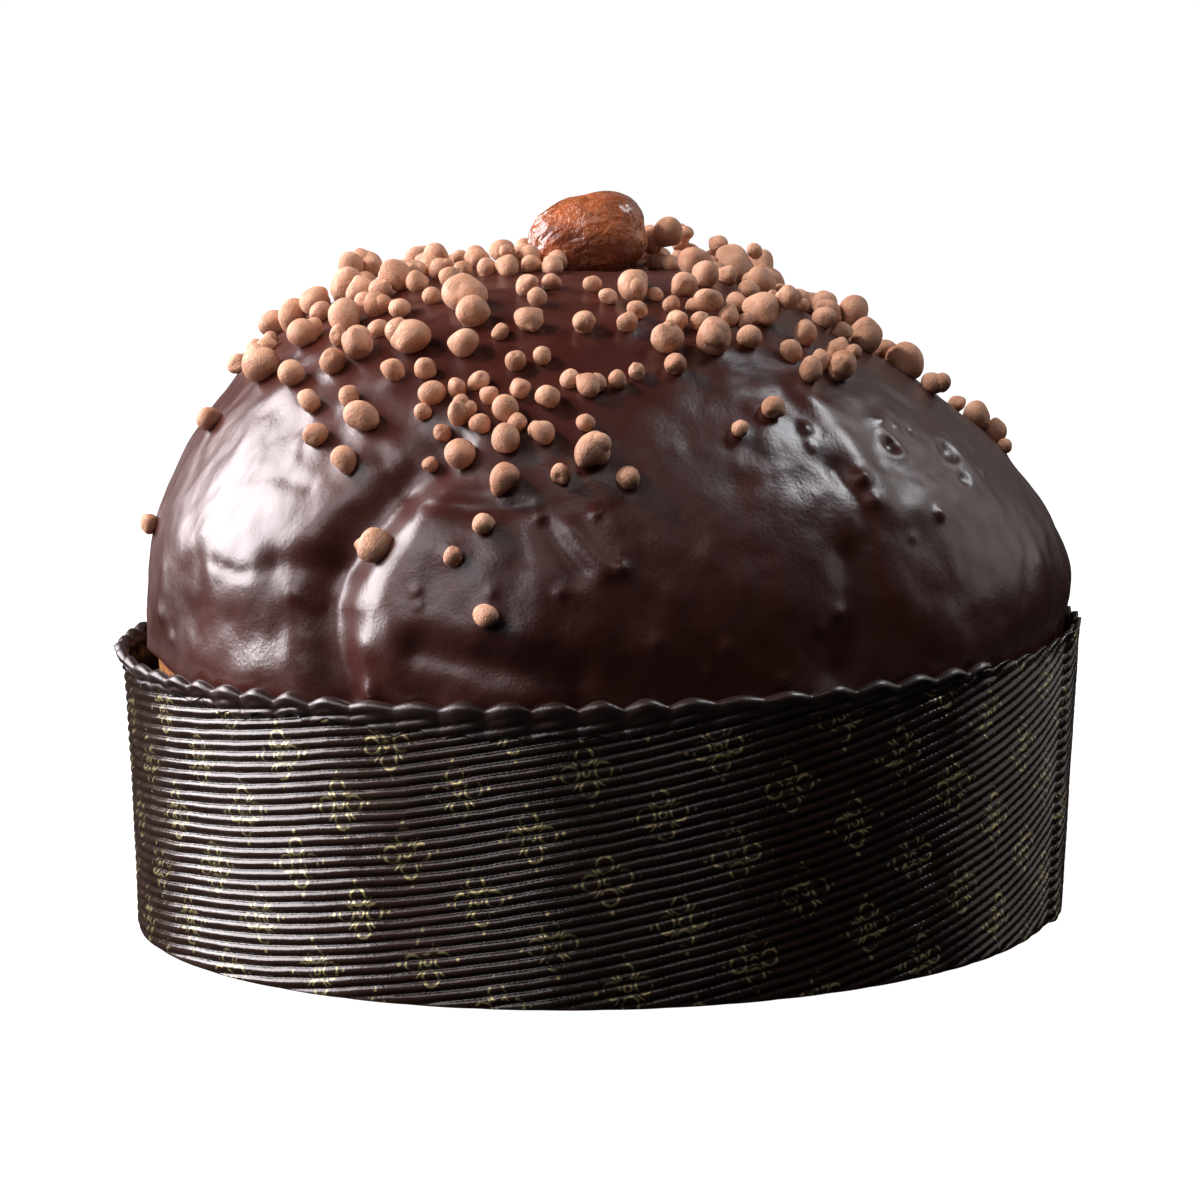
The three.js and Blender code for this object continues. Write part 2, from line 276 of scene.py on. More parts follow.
def fine_skin_group():
    """Heights of a fine, irregular skin: soft dimples with a small grain over them."""
    inputs = [
        ("Dimple Scale", "NodeSocketFloat", 150.0),
        ("Grain Scale", "NodeSocketFloat", 1200.0),
        ("Grain", "NodeSocketFloat", 0.3),
    ]
    graph, given, result = new_group("Fine skin", inputs, [("Height", "NodeSocketFloat")])
    place = graph.add("ShaderNodeTexCoord").outputs["Object"]
    dimples = graph.noise(place, given["Dimple Scale"], 3.0)
    grain = graph.math("MULTIPLY", graph.noise(place, given["Grain Scale"], 2.0), given["Grain"])
    graph.plug(graph.math("ADD", dimples, grain), result["Height"])
    return graph.tree


def new_material(name, **sockets):
    """A material with a Principled shader, and the graph to add to.

    Sockets hold the shader's plain values.
    """
    material = bpy.data.materials.new(name)
    material.use_nodes = True
    graph = Graph(material.node_tree)
    shader = material.node_tree.nodes["Principled BSDF"]
    for key, value in sockets.items():
        shader.inputs[key.replace("_", " ").title().replace("Ior", "IOR")].default_value = value
    return material, graph, shader.inputs


UNEVEN_TONE = uneven_tone_group()
FINE_SKIN = fine_skin_group()
NOISE_SPAN = (0.3, 0.7)  # what a noise texture mostly keeps between


def uneven_tone(graph, colour, patch, patch_scale, speck_scale):
    """The uneven tone group, placed with a material's own values."""
    sockets = {
        "Colour": colour,
        "Patch Colour": patch,
        "Patch Scale": patch_scale,
        "Speck Scale": speck_scale,
    }
    return graph.group(UNEVEN_TONE, sockets).outputs["Colour"]


def fine_skin(graph, dimple_scale, grain_scale, grain):
    """The fine skin group, placed with a material's own values."""
    sockets = {"Dimple Scale": dimple_scale, "Grain Scale": grain_scale, "Grain": grain}
    return graph.group(FINE_SKIN, sockets).outputs["Height"]


# ---------------------------------------------------------------- materials


def chocolate_material(name, colour, patch, smooth, rough):
    material, graph, shader = new_material(name, specular_ior_level=1.0, ior=1.5)
    tone = uneven_tone(graph, colour, patch, 26.0, 700.0)
    place = graph.add("ShaderNodeTexCoord").outputs["Object"]
    smears = graph.noise(place, 45.0, 4.0, 0.6)
    skin = fine_skin(graph, 230.0, 1300.0, 0.3)
    bumped = graph.bump(skin, 0.3, 0.0005)
    graph.plug(tone, shader["Base Color"])
    graph.plug(graph.remap(smears, *NOISE_SPAN, smooth, rough), shader["Roughness"])
    graph.plug(bumped, shader["Normal"])
    return material


def pearl_material():
    material, graph, shader = new_material(
        "Crunchy pearl coating", roughness=0.6, subsurface_weight=0.06, subsurface_scale=0.001
    )
    tone = uneven_tone(graph, (0.73, 0.415, 0.275, 1), (0.5, 0.25, 0.15, 1), 170.0, 1600.0)
    skin = fine_skin(graph, 500.0, 2600.0, 0.6)
    graph.plug(tone, shader["Base Color"])
    graph.plug(graph.bump(skin, 0.6, 0.0006), shader["Normal"])
    return material


def chestnut_material():
    material, graph, shader = new_material(
        "Candied chestnut",
        coat_weight=0.9,
        coat_roughness=0.12,
        subsurface_weight=0.45,
        subsurface_scale=0.004,
    )
    shader["Subsurface Radius"].default_value = (1.0, 0.35, 0.1)
    tone = uneven_tone(graph, (0.6, 0.18, 0.058, 1), (0.24, 0.06, 0.019, 1), 130.0, 900.0)
    place = graph.add("ShaderNodeTexCoord").outputs["Object"]
    skin = fine_skin(graph, 700.0, 2500.0, 0.4)
    graph.plug(tone, shader["Base Color"])
    roughness = graph.remap(graph.noise(place, 300.0), *NOISE_SPAN, 0.2, 0.4)
    graph.plug(roughness, shader["Roughness"])
    graph.plug(graph.bump(skin, 0.9, 0.001), shader["Normal"])
    return material


def crust_material():
    material, graph, shader = new_material("Baked crust", roughness=0.8)
    tone = uneven_tone(graph, (0.5, 0.2, 0.055, 1), (0.24, 0.075, 0.02, 1), 110.0, 800.0)
    skin = fine_skin(graph, 320.0, 1400.0, 0.7)
    graph.plug(tone, shader["Base Color"])
    graph.plug(graph.bump(skin, 0.8, 0.001), shader["Normal"])
    return material


# Blossoms printed on the paper, millimetres
BLOSSOM_RIGHT = (15.2, -9.0)  # step from one blossom to the next, down to the right
BLOSSOM_UP = (11.4, 13.2)  # and up to the right
BLOSSOM_START = (1.2, 26.6)
BLOSSOM_TILT = 8
PETAL_DISTANCE = 3.4
PETAL_RADIUS = 1.75
LINE_WIDTH = 0.28
LINE_FADE = (0.6, 1.3)  # shares of its width between which a line fades out
DOT_GAP = 1.5  # from a petal's outline to the dot beyond it
DOT_WIDTH = 0.42
STAMEN_DISTANCE = 3.4
STAMEN_LENGTH = 1.1
HEART_RADIUS = 0.75
HEART_WIDTH = 0.25
PRINT_COLOUR = (0.42, 0.37, 0.18, 1)
PRINT_METAL = 0.55
PRINT_ON_RIDGE = (0.25, 0.6)  # how far up a ridge the ink starts and is full
PRINT_WEAR = (0.4, 0.5)

PAPER_COLOURS = ((0.019, 0.0098, 0.0072, 1), (0.034, 0.0185, 0.013, 1))
EDGE_COLOURS = ((0.16, 0.105, 0.075, 1), (0.1, 0.06, 0.042, 1))
PAPER_ROUGHNESS = (0.13, 0.24)


def blossom_group():
    """Mask of an outlined blossom with four petals, repeated on a slanted lattice."""
    inputs = [("Arc", "NodeSocketFloat", 0.0), ("Height", "NodeSocketFloat", 0.0)]
    graph, given, result = new_group("Blossom print", inputs, [("Mask", "NodeSocketFloat")])
    x = graph.math("SUBTRACT", given["Arc"], BLOSSOM_START[0])
    y = graph.math("SUBTRACT", given["Height"], BLOSSOM_START[1])
    (ax, ay), (bx, by) = BLOSSOM_RIGHT, BLOSSOM_UP
    area = ax * by - ay * bx

    def combine(p, p_share, q, q_share):
        first = graph.math("MULTIPLY", p, p_share)
        second = graph.math("MULTIPLY", q, q_share)
        return graph.math("ADD", first, second)

    def nearest(value):
        return graph.math("SUBTRACT", value, graph.math("ROUND", value))

    right = nearest(combine(x, by / area, y, -bx / area))
    up = nearest(combine(x, -ay / area, y, ax / area))
    u = combine(right, ax, up, bx)
    v = combine(right, ay, up, by)
    cos, sin = math.cos(math.radians(BLOSSOM_TILT)), math.sin(math.radians(BLOSSOM_TILT))
    a = graph.math("ABSOLUTE", combine(u, cos, v, sin))
    b = graph.math("ABSOLUTE", combine(u, -sin, v, cos))
    far = graph.math("MAXIMUM", a, b)
    near = graph.math("MINIMUM", a, b)

    def line(distance, width=LINE_WIDTH):
        full, gone = (width * share for share in LINE_FADE)
        return graph.remap(graph.math("ABSOLUTE", distance), full, gone, 1.0, 0.0)

    def length(p, q):
        squares = [graph.math("MULTIPLY", side, side) for side in (p, q)]
        return graph.math("SQRT", combine(squares[0], 1.0, squares[1], 1.0))

    from_petal = length(graph.math("SUBTRACT", far, PETAL_DISTANCE), near)
    petal = line(graph.math("SUBTRACT", from_petal, PETAL_RADIUS))
    dot_distance = PETAL_DISTANCE + PETAL_RADIUS + DOT_GAP
    dot = line(length(graph.math("SUBTRACT", far, dot_distance), near), DOT_WIDTH)
    diagonal = line(graph.math("SUBTRACT", far, near))
    reach = graph.math("SUBTRACT", length(far, near), STAMEN_DISTANCE)
    stamen = graph.math("MULTIPLY", diagonal, line(reach, STAMEN_LENGTH))
    heart = line(graph.math("SUBTRACT", length(far, near), HEART_RADIUS), HEART_WIDTH)
    outside = graph.math("MAXIMUM", petal, dot)
    inside = graph.math("MAXIMUM", stamen, heart)
    graph.plug(graph.math("MAXIMUM", outside, inside), result["Mask"])
    return graph.tree


def paper_material(name, colour, patch, printed=False):
    material, graph, shader = new_material(name, specular_ior_level=0.62, ior=1.5)
    place = graph.add("ShaderNodeTexCoord").outputs["Object"]
    tone = uneven_tone(graph, colour, patch, 60.0, 1100.0)
    skin = fine_skin(graph, 420.0, 2200.0, 0.5)
    graph.plug(graph.bump(skin, 0.3, 0.0003), shader["Normal"])
    worn = graph.noise(place, 420.0, 2.0)
    roughness = graph.remap(graph.noise(place, 180.0, 3.0), *NOISE_SPAN, *PAPER_ROUGHNESS)
    if not printed:
        graph.plug(tone, shader["Base Color"])
        graph.plug(roughness, shader["Roughness"])
        return material
    split = graph.add("ShaderNodeSeparateXYZ", {"Vector": place}).outputs
    behind = graph.math("MULTIPLY", split["Y"], -1.0)
    arc = graph.math("MULTIPLY", graph.math("ARCTAN2", split["X"], behind), float(RIM_RADIUS))
    height = graph.math("MULTIPLY", split["Z"], 1000.0)
    blossom = graph.group(blossom_group(), {"Arc": arc, "Height": height}).outputs["Mask"]
    ridge = graph.add("ShaderNodeAttribute", attribute_name="ridge").outputs["Fac"]
    on_ridge = graph.remap(ridge, *PRINT_ON_RIDGE)
    mask = graph.math("MULTIPLY", blossom, on_ridge)
    mask = graph.math("MULTIPLY", mask, graph.remap(worn, *PRINT_WEAR), clamp=True)
    graph.plug(graph.mix(mask, tone, PRINT_COLOUR), shader["Base Color"])
    graph.plug(graph.math("MULTIPLY", mask, PRINT_METAL), shader["Metallic"])
    graph.plug(roughness, shader["Roughness"])
    return material


def floor_material():
    """Floor that is white to the camera, shades a little, and stays dark in reflections."""
    material, graph, shader = new_material("Pale floor", roughness=0.9, specular_ior_level=0.0)
    place = graph.add("ShaderNodeTexCoord").outputs["Object"]
    shade = graph.remap(graph.noise(place, 3.0, 2.0), *NOISE_SPAN, *FLOOR_SHADE)
    pale = graph.add("ShaderNodeCombineColor", {"Red": shade, "Green": shade, "Blue": shade})
    seen = graph.add("ShaderNodeLightPath").outputs["Is Camera Ray"]
    colour = graph.mix(seen, FLOOR_REFLECTED, pale.outputs["Color"])
    graph.plug(colour, shader["Base Color"])
    shader["Emission Color"].default_value = (1, 1, 1, 1)
    graph.plug(graph.math("MULTIPLY", seen, BACKDROP_GLOW), shader["Emission Strength"])
    return material


# ---------------------------------------------------------------- glaze

# Folds of the glaze: path as (azimuth, elevation), half width in degrees, height
FOLDS = [
    ([(-22, 30), (-27.5, 24), (-32, 18), (-34.5, 12), (-33.5, 7), (-31.5, 1)], 3.6, -4.6),
    ([(-42, 15.5), (-35, 16)], 2.0, -1.2),
    ([(-21, 22), (-25, 18), (-27.5, 12), (-27, 8)], 4.4, 1.5),
    ([(-51, 25.3), (-46, 26), (-40, 25)], 0.9, -0.5),
    ([(-60, 9), (-50, 8), (-42, 8.5)], 4.5, -1.3),
    ([(-57, 17.5), (-50, 16.8), (-43, 17)], 2.4, 0.3),
    ([(-53, 14.6), (-48, 13.9), (-43, 14.6)], 0.8, -0.35),
    ([(-39, 12.3), (-36.5, 11.4)], 0.8, 0.5),
    ([(-21, 7), (-15, 6.2), (-10, 5.4), (-3, 4.2)], 2.0, -1.5),
    ([(-17, 0.5), (-10, 1.2), (-5, 0.8)], 2.0, 0.9),
    ([(-22, 23.6), (-16, 23), (-9, 23.8)], 0.7, -0.5),
    ([(-21, 24.9), (-13, 24.5)], 0.6, -0.35),
    ([(-6.5, 21), (-4.5, 18.5), (-2.5, 16)], 1.2, -0.6),
    ([(-3.5, 21), (-1.5, 18), (0.5, 16)], 1.2, 0.5),
    ([(-10, 20.5), (-9, 17)], 1.0, -0.4),
    ([(31.5, 16), (31, 12), (30, 7), (29, 3)], 2.6, -1.9),
    ([(34, 39), (36, 32), (38, 26), (39, 21)], 2.5, 0.9),
    ([(35, 37), (42, 33), (50, 34)], 1.6, 0.5),
    ([(41, 27), (47, 25), (54, 26)], 1.4, -0.5),
    ([(43, 21), (50, 20), (58, 23), (61, 29)], 2.0, 0.6),
    ([(33, 27), (35, 22), (34, 18)], 1.3, -0.7),
    ([(24.5, 36), (24, 31)], 1.6, 0.5),
    ([(-28.5, 7), (-28, 4.5), (-27.5, 1.5)], 1.5, 0.6),
    ([(-31, 30), (-27, 26)], 1.2, -0.6),
    ([(-46, 31), (-44.5, 28)], 1.0, 0.4),
    # sides and back
    ([(86, 30), (84, 22), (88, 12), (86, 4)], 3.0, -1.4),
    ([(112, 26), (116, 17), (114, 8), (117, 2)], 3.0, -2.2),
    ([(128, 22), (140, 20), (149, 22)], 1.2, -0.6),
    ([(163, 27), (166, 19), (163, 11), (166, 3)], 3.4, -2.6),
    ([(163, 12), (172, 13)], 1.8, -1.0),
    ([(176, 8), (-176, 6.5), (-168, 7)], 1.7, -1.4),
    ([(178, 3), (-174, 3.4), (-168, 2.6)], 2.2, 1.2),
    ([(-152, 24), (-148, 16), (-150, 9)], 2.6, -1.7),
    ([(-124, 28), (-120, 20), (-124, 11), (-121, 3)], 3.2, -2.4),
    ([(-112, 14), (-104, 13), (-98, 15)], 1.5, -0.8),
    ([(-84, 27), (-80, 18), (-83, 9)], 2.6, -0.8),
]

# Pimples of the glaze: azimuth, elevation, radius in degrees, height
PIMPLES = [
    (-21.5, 13.5, 0.55, 0.5),
    (-21, 12, 0.5, 0.35),
    (-7.5, 22.5, 0.5, 0.45),
    (-0.7, 22.8, 0.6, 0.7),
    (2.3, 16.3, 0.7, 0.8),
    (-4.7, 13.7, 0.7, 0.45),
    (-12.5, 13.6, 0.5, 0.5),
    (6, 8, 0.8, 0.4),
    (14, 7, 0.9, 0.5),
    (12, 4.5, 0.6, 0.4),
    (20.5, 3, 0.8, 0.6),
    (31, 33, 0.9, 0.8),
    (30.5, 30.5, 0.5, 0.5),
    (36, 25.5, 1, 1.1),
    (36.5, 22.5, 0.9, 0.7),
    (46.5, 19.8, 0.7, 0.9),
    (41, 17.5, 0.6, 0.4),
    (46, 33, 0.5, 0.5),
    (49, 32, 0.5, 0.5),
    (62, 24, 0.6, 0.5),
    (26, 8.5, 0.6, 0.5),
    (29, 10, 0.8, 0.7),
    (-64, 4.5, 0.9, 0.5),
    (-67, 7, 1.5, 0.6),
    (-28, 1.6, 1.7, 1.5),
    (27, 4, 4, -1.6),
]

# Burst bubbles of the glaze: azimuth, elevation, radius in degrees, depth
BUBBLES = [
    (45, 29.5, 1.3, 1.1),
    (57, 27.5, 1.6, 0.8),
    (56, 23.5, 1, 0.6),
    (52, 31.5, 0.6, 0.4),
    (-110, 22, 1.2, 0.8),
    (138, 26, 1.4, 0.8),
    (-158, 14, 0.9, 0.6),
]

PIMPLE_GAIN = 1.3
BUBBLE_GAIN = 1.4
BUBBLE_LIP = 0.35  # height of the lip round a burst bubble, as a share of its depth
GLAZE_UNEVENNESS = [(0.6, 15, 1), (0.36, 6.5, 2), (0.09, 3.4, 3)]  # amount, size, seed
GLAZE_BLUR = 2.2
GLAZE_ROWS = 190

# A little glaze is raised round the foot of each pearl
FOOT_RISE = 0.5
FOOT_MARGIN = 0.7
DOME_RADIUS = 95

# Lower edge of the glaze: how far it is pulled up at the left, and how it wavers there
EDGE_LIFT = 2.6
EDGE_LIFT_AZIMUTH = -72
EDGE_LIFT_SPREAD = 14
EDGE_WAVER = 0.5
EDGE_WAVER_AZIMUTH = -80
EDGE_WAVER_SPREAD = 40


def cad_tree(node):
    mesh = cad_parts[node].data
    points = [vertex.co.copy() for vertex in mesh.vertices]
    return BVHTree.FromPolygons(points, [list(face.vertices) for face in mesh.polygons])


class Dome:
    """Distance from the dome's centre to the top of the glaze, over elevation and azimuth."""

    def __init__(self):
        self.azimuths = np.arange(0, 360, ANGLE_STEP)
        self.elevations = np.arange(LOWEST_ELEVATION, 90 + ANGLE_STEP / 2, ANGLE_STEP)
        self.azimuth, self.elevation = np.meshgrid(self.azimuths, self.elevations)
        self.centre = np.array([AXIS[0], AXIS[1], DOME_CENTRE_Z])
        self.distance = blurred(self.cast(cad_tree("chocolate_glaze")), GLAZE_BLUR)

    def directions(self, azimuth, elevation):
        angle, slope = np.radians(azimuth), np.radians(elevation)
        level = np.cos(slope)
        return np.stack([level * np.sin(angle), -level * np.cos(angle), np.sin(slope)], -1)

    def cast(self, tree):
        start = 200.0
        rays = self.directions(self.azimuth, self.elevation)
        distance = np.empty(self.azimuth.shape)
        centre = Vector(self.centre * MM)
        for place in np.ndindex(distance.shape):
            ray = Vector(rays[place])
            hit = tree.ray_cast(centre + ray * start * MM, -ray)
            distance[place] = start - hit[3] / MM
        return distance

    def spread_from(self, azimuth, elevation):
        """Angle of every grid point from a place, roughly."""
        across = turn_between(self.azimuth, azimuth) * np.cos(np.radians(self.elevation))
        return np.hypot(across, self.elevation - elevation)

    def spread_from_path(self, path):
        """Angle of every grid point from a path of places, roughly."""
        nearest = np.full(self.azimuth.shape, 1e9)
        for (azimuth, elevation), (next_azimuth, next_elevation) in zip(path, path[1:]):
            squeeze = math.cos(math.radians((elevation + next_elevation) / 2))
            x = turn_between(self.azimuth, azimuth) * squeeze
            y = self.elevation - elevation
            turn = turn_between(next_azimuth, azimuth) * squeeze
            step = np.array([turn, next_elevation - elevation])
            share = np.clip((x * step[0] + y * step[1]) / (step @ step), 0, 1)
            nearest = np.minimum(nearest, np.hypot(x - share * step[0], y - share * step[1]))
        return nearest

    def add_surface_detail(self):
        for path, width, height in FOLDS:
            self.distance += height * bell(self.spread_from_path(path), width)
        for azimuth, elevation, radius, height in PIMPLES:
            spread = self.spread_from(azimuth, elevation)
            self.distance += PIMPLE_GAIN * height * bell(spread, radius)
        for azimuth, elevation, radius, depth in BUBBLES:
            spread = self.spread_from(azimuth, elevation)
            self.distance -= BUBBLE_GAIN * depth * bell(spread, radius * 0.8)
            lip = bell(spread - radius * 1.25, radius * 0.3)
            self.distance += BUBBLE_LIP * depth * lip
        points = self.centre + self.directions(self.azimuth, self.elevation) * 100
        self.distance += layered_noise(points, GLAZE_UNEVENNESS)

    def add_sockets(self, pearls):
        """Raises a little glaze round the foot of each pearl."""
        for azimuth, elevation, radius in pearls:
            width = math.degrees((radius + FOOT_MARGIN) / DOME_RADIUS)
            self.distance += FOOT_RISE * bell(self.spread_from(azimuth, elevation), width)

    def distance_at(self, azimuth, elevation):
        column = (azimuth % 360) / ANGLE_STEP
        last_row = len(self.elevations) - 1.001  # just short of the pole
        row = np.clip((elevation - LOWEST_ELEVATION) / ANGLE_STEP, 0, last_row)
        low_column, low_row = np.floor(column).astype(int), np.floor(row).astype(int)
        columns = len(self.azimuths)
        across, up = column - low_column, row - low_row
        first, second = low_column % columns, (low_column + 1) % columns

        def along_row(row):
            return self.distance[row, first] * (1 - across) + self.distance[row, second] * across

        return along_row(low_row) * (1 - up) + along_row(low_row + 1) * up

    def point(self, azimuth, elevation, lift=0.0):
        reach = self.distance_at(azimuth, elevation) + lift
        return self.centre + self.directions(azimuth, elevation) * np.asarray(reach)[..., None]

    def normal(self, azimuth, elevation):
        step = 1.5
        across = self.point(azimuth + step, elevation) - self.point(azimuth - step, elevation)
        upward = self.point(azimuth, elevation + step) - self.point(azimuth, elevation - step)
        normal = np.cross(across, upward)
        return normal / np.linalg.norm(normal)


def edge_elevation(azimuth):
    """Where the poured glaze ends, inside the rim.

    It stops short at the left and bares the crust.
    """
    lift = EDGE_LIFT * bell(turn_between(azimuth, EDGE_LIFT_AZIMUTH), EDGE_LIFT_SPREAD)
    near = bell(turn_between(azimuth, EDGE_WAVER_AZIMUTH), EDGE_WAVER_SPREAD)
    return LOWEST_ELEVATION + lift + EDGE_WAVER * np.sin(7 * np.radians(azimuth)) * near


def glaze_piece(dome, material):
    """The poured shell: rows run from the hidden inner edge, round the lip and up to the pole."""
    columns = len(dome.azimuths)
    edge = edge_elevation(dome.azimuths)
    rows = []
    for lift in (-GLAZE_THICKNESS, -GLAZE_THICKNESS * 0.6, -GLAZE_THICKNESS * 0.2):
        drop = 0.35 * (1 + lift / GLAZE_THICKNESS)
        rows.append(dome.point(dome.azimuths, edge - drop, lift))
    shares = np.linspace(0, 1, GLAZE_ROWS)[:-1] ** 1.06  # a little closer near the edge
    for share in shares:
        rows.append(dome.point(dome.azimuths, edge + share * (90 - edge)))
    points = np.concatenate(rows + [dome.point(np.zeros(1), np.full(1, 90.0))])
    top = len(points) - 1
    last = (len(rows) - 1) * columns + np.arange(columns)
    cap = np.stack([last, np.roll(last, -1), np.full(columns, top)], -1)
    piece = new_mesh("glaze", points, [grid_faces(len(rows), columns, wrap_columns=True), cap])
    finish_piece(piece, material, "chocolate", "chocolate_glaze")


# ---------------------------------------------------------------- pearls

# Pearls on the glaze: azimuth, elevation, radius. Those that a solid stands for come first.
MARKED_PEARLS = [
    (10, 62, 3.2), (-34, 57, 3.8), (-14, 52, 2.6), (-3, 52, 2.3), (13, 48, 3), (-36, 47, 3.6),
    (-24, 46.5, 2.9), (13, 43.5, 2.2), (22, 47.5, 3.2), (30, 48, 2.5), (40, 54, 3.8), (46, 49, 2.7),
    (46, 42, 3), (37, 41, 2.6), (-14, 44, 2.2), (-1.5, 39.5, 2.5), (-7.5, 37.5, 2.6),
    (-13.5, 36, 2.6), (-20, 35.5, 2.6), (-25.5, 38, 2.5), (-7.5, 32.5, 2.4), (-12.5, 31.5, 2.7),
    (-18, 30, 3.1), (-1, 30, 3.2), (-12, 26.5, 3), (3.5, 27, 2.2), (-27.5, 18, 2.8), (-14, 21, 2.2),
    (-13, 11, 2.1), (-36, 34, 3), (-35.5, 28.5, 2.4), (-42, 31, 2.4), (-47, 35.5, 2.4),
    (-73, 31, 2.4), (26, 35.5, 2.3), (-49, 42, 2.8), (-56, 39, 2.9), (-68, 39.5, 3.7),
    (-66, 45.5, 3.2), (-84, 50.5, 3.4), (-92, 44.5, 3.3), (76, 48, 3.6), (82, 41.5, 3.4),
    (68, 64, 3.2), (60, 73, 3), (99, 64, 3.5), (97, 28.5, 2.8), (130, 55, 3.4), (150, 46, 3),
    (175, 52, 3.5), (-168, 38, 2.7), (-145, 50, 3.2), (-120, 42, 2.9), (160, 30, 2.4),
]

SMALL_PEARLS = [
    # crown, in front
    (-58, 76, 2.1), (-52, 70, 2), (-60, 68, 1.9), (-68, 66, 2.5), (-72, 63, 2.9), (-61, 61, 2.2),
    (-46, 58, 2), (-49, 54, 2.1), (-27, 53, 3.4), (-21, 63, 2.3), (-15, 65, 1.9), (-15, 58.5, 2.2),
    (-19, 50, 1.6), (-1, 64, 1.8), (3, 59.5, 1.7), (14, 66, 2.1), (16, 61, 1.5), (6, 52, 2.1),
    (9, 55, 2.1), (-43, 50, 1.8), (-47, 49, 2.2), (-46, 45, 3.1), (-55, 46.5, 1.9),
    # piled against the chestnut, at the left
    (-62, 79, 2.4), (-48, 77, 2.3), (-40, 80, 2.2), (-30, 78, 2.2), (-24, 74, 2.2), (-36, 74, 2),
    (-75, 81, 2.6), (-85, 78, 2.3), (-100, 80, 2.4), (-50, 82, 2.2), (-110, 76, 2.2),
    (-70, 76, 2.5), (-56, 74, 2.4), (-42, 71, 2.3), (-52, 64, 2.2), (-76, 72, 2.5),
    # trail down the middle
    (-9.5, 45, 2), (-35, 41.5, 2.2), (-29.5, 42, 2), (-19, 40.5, 1.9), (-22, 39, 1.9), (-12, 39, 2),
    (-26, 35.5, 1.9), (-16.5, 38, 1.8), (-22.5, 33.5, 2), (-16.5, 34, 2.2), (-11.5, 34, 2),
    (-4.5, 41, 1.8), (3, 41, 1.85), (6.5, 42.5, 1.8), (-2, 34, 2), (-24, 29.5, 1.8),
    (-5, 27.5, 2.1), (-17, 17.5, 1.8), (-84, 16, 1.9), (-40, 37, 2.1), (20, 33, 1.9),
    # left shoulder
    (-112, 54, 2.9), (-100, 48, 2.4), (-88, 47, 3), (-80, 42.5, 1.8), (-84, 43.5, 1.6),
    (-98, 40, 2.2), (-104, 41, 1.8), (-94, 37.5, 2.2), (-101, 37.5, 2), (-84, 55, 3.7),
    (-95, 66, 2.6), (-100, 72, 2.5), (-105, 62, 2.4), (-66, 57, 2.6), (-75, 56, 2.8),
    (-74, 50, 2.5), (-92, 54, 2.6), (-90, 61, 2.4), (-78, 66, 2.5), (-63, 54, 2.2),
    (-60, 50, 3.4), (-57, 54, 2.4), (-95, 60, 1.9), (-68, 60, 3.2), (-80, 62, 2.8), (-85, 67, 2.9),
    # right of the crown
    (70, 78, 1.8), (110, 80, 2.1), (125, 78, 2.2), (120, 74, 2.3), (130, 72, 2.4), (100, 73, 2.2),
    (85, 72, 1.8), (42, 67, 2.8), (27, 63, 2.4), (60, 68, 1.9), (100, 69, 3.9), (52, 62, 2.2),
    (100, 67, 1.9), (88, 62, 2.1), (98, 60, 1.8), (74, 61, 2.3), (62, 60.5, 1.6), (86, 59, 2.5),
    (100, 57, 2.6), (96, 55, 2.8), (84, 54.5, 3), (76, 58, 1.5), (68, 53.5, 2.4), (70, 50.5, 2),
    (86, 51.5, 3.2), (98, 51.5, 2.4), (94, 50, 1.6), (102, 49.5, 1.7), (94, 47, 2.6),
    (102, 47.5, 1.8), (84, 45, 2.2), (96, 43.5, 2.2), (78, 37, 2.6), (102, 30.5, 1.7),
    (97, 25.5, 2.6), (94, 24, 1.5), (37, 45.5, 2.3), (50, 45, 2.5), (43, 43.5, 2), (50, 43, 1.8),
    (17, 52.5, 2.3), (18, 57, 1.8), (24, 57, 1.7), (26, 55.5, 2.5), (32, 58.5, 1.7), (22, 52, 2.2),
    (38, 58, 2.1), (30, 53.5, 2.1), (33, 52.5, 1.6), (44, 53, 2.3),
]
BACK_PEARLS = 95  # scattered over the half of the crown turned away
BACK_AZIMUTHS = (106, 250)
BACK_TOP = 80  # elevation of the highest, and how far down they reach
BACK_REACH = 58
TRAIL_AZIMUTH = 190
TRAIL_SPREAD = 22
SPARSE_BELOW = 42  # elevation below which few are left, most of them in the trail
PEARL_SINK = 0.16  # share of its radius that a pearl stands in the glaze
PEARL_TOUCH = 0.93  # share of their radii that keeps two pearls apart
LIFT_TRIES = 12
LIFT_STEP = 0.5
PEARL_FINENESS = 4


def back_pearls(chance):
    """A scatter over the back like the one in front: dense near the crown, thin lower down."""
    places = []
    while len(places) < BACK_PEARLS:
        azimuth = chance.uniform(*BACK_AZIMUTHS)
        elevation = BACK_TOP - BACK_REACH * chance.uniform() ** 1.5
        trail = bell(turn_between(azimuth, TRAIL_AZIMUTH), TRAIL_SPREAD)
        if elevation < SPARSE_BELOW and chance.uniform() > 0.18 + 0.5 * trail:
            continue
        places.append((azimuth, elevation, 1.6 + 2.2 * chance.uniform() ** 2))
    return places


def settle(dome, places):
    """Centres of pearls laid on the glaze one after another.

    Each one is lifted off those before it.
    """
    centres = []
    for azimuth, elevation, radius in places:
        normal = dome.normal(azimuth, elevation)
        centre = dome.point(azimuth, elevation) + normal * radius * (1 - PEARL_SINK)
        for _ in range(LIFT_TRIES):
            worst = 0.0
            for other, other_radius in centres:
                gap = np.linalg.norm(centre - other) - PEARL_TOUCH * (radius + other_radius)
                worst = min(worst, gap)
            if worst > -0.05:
                break
            centre = centre + normal * min(LIFT_STEP, -worst)
        centres.append((centre, radius))
    return centres


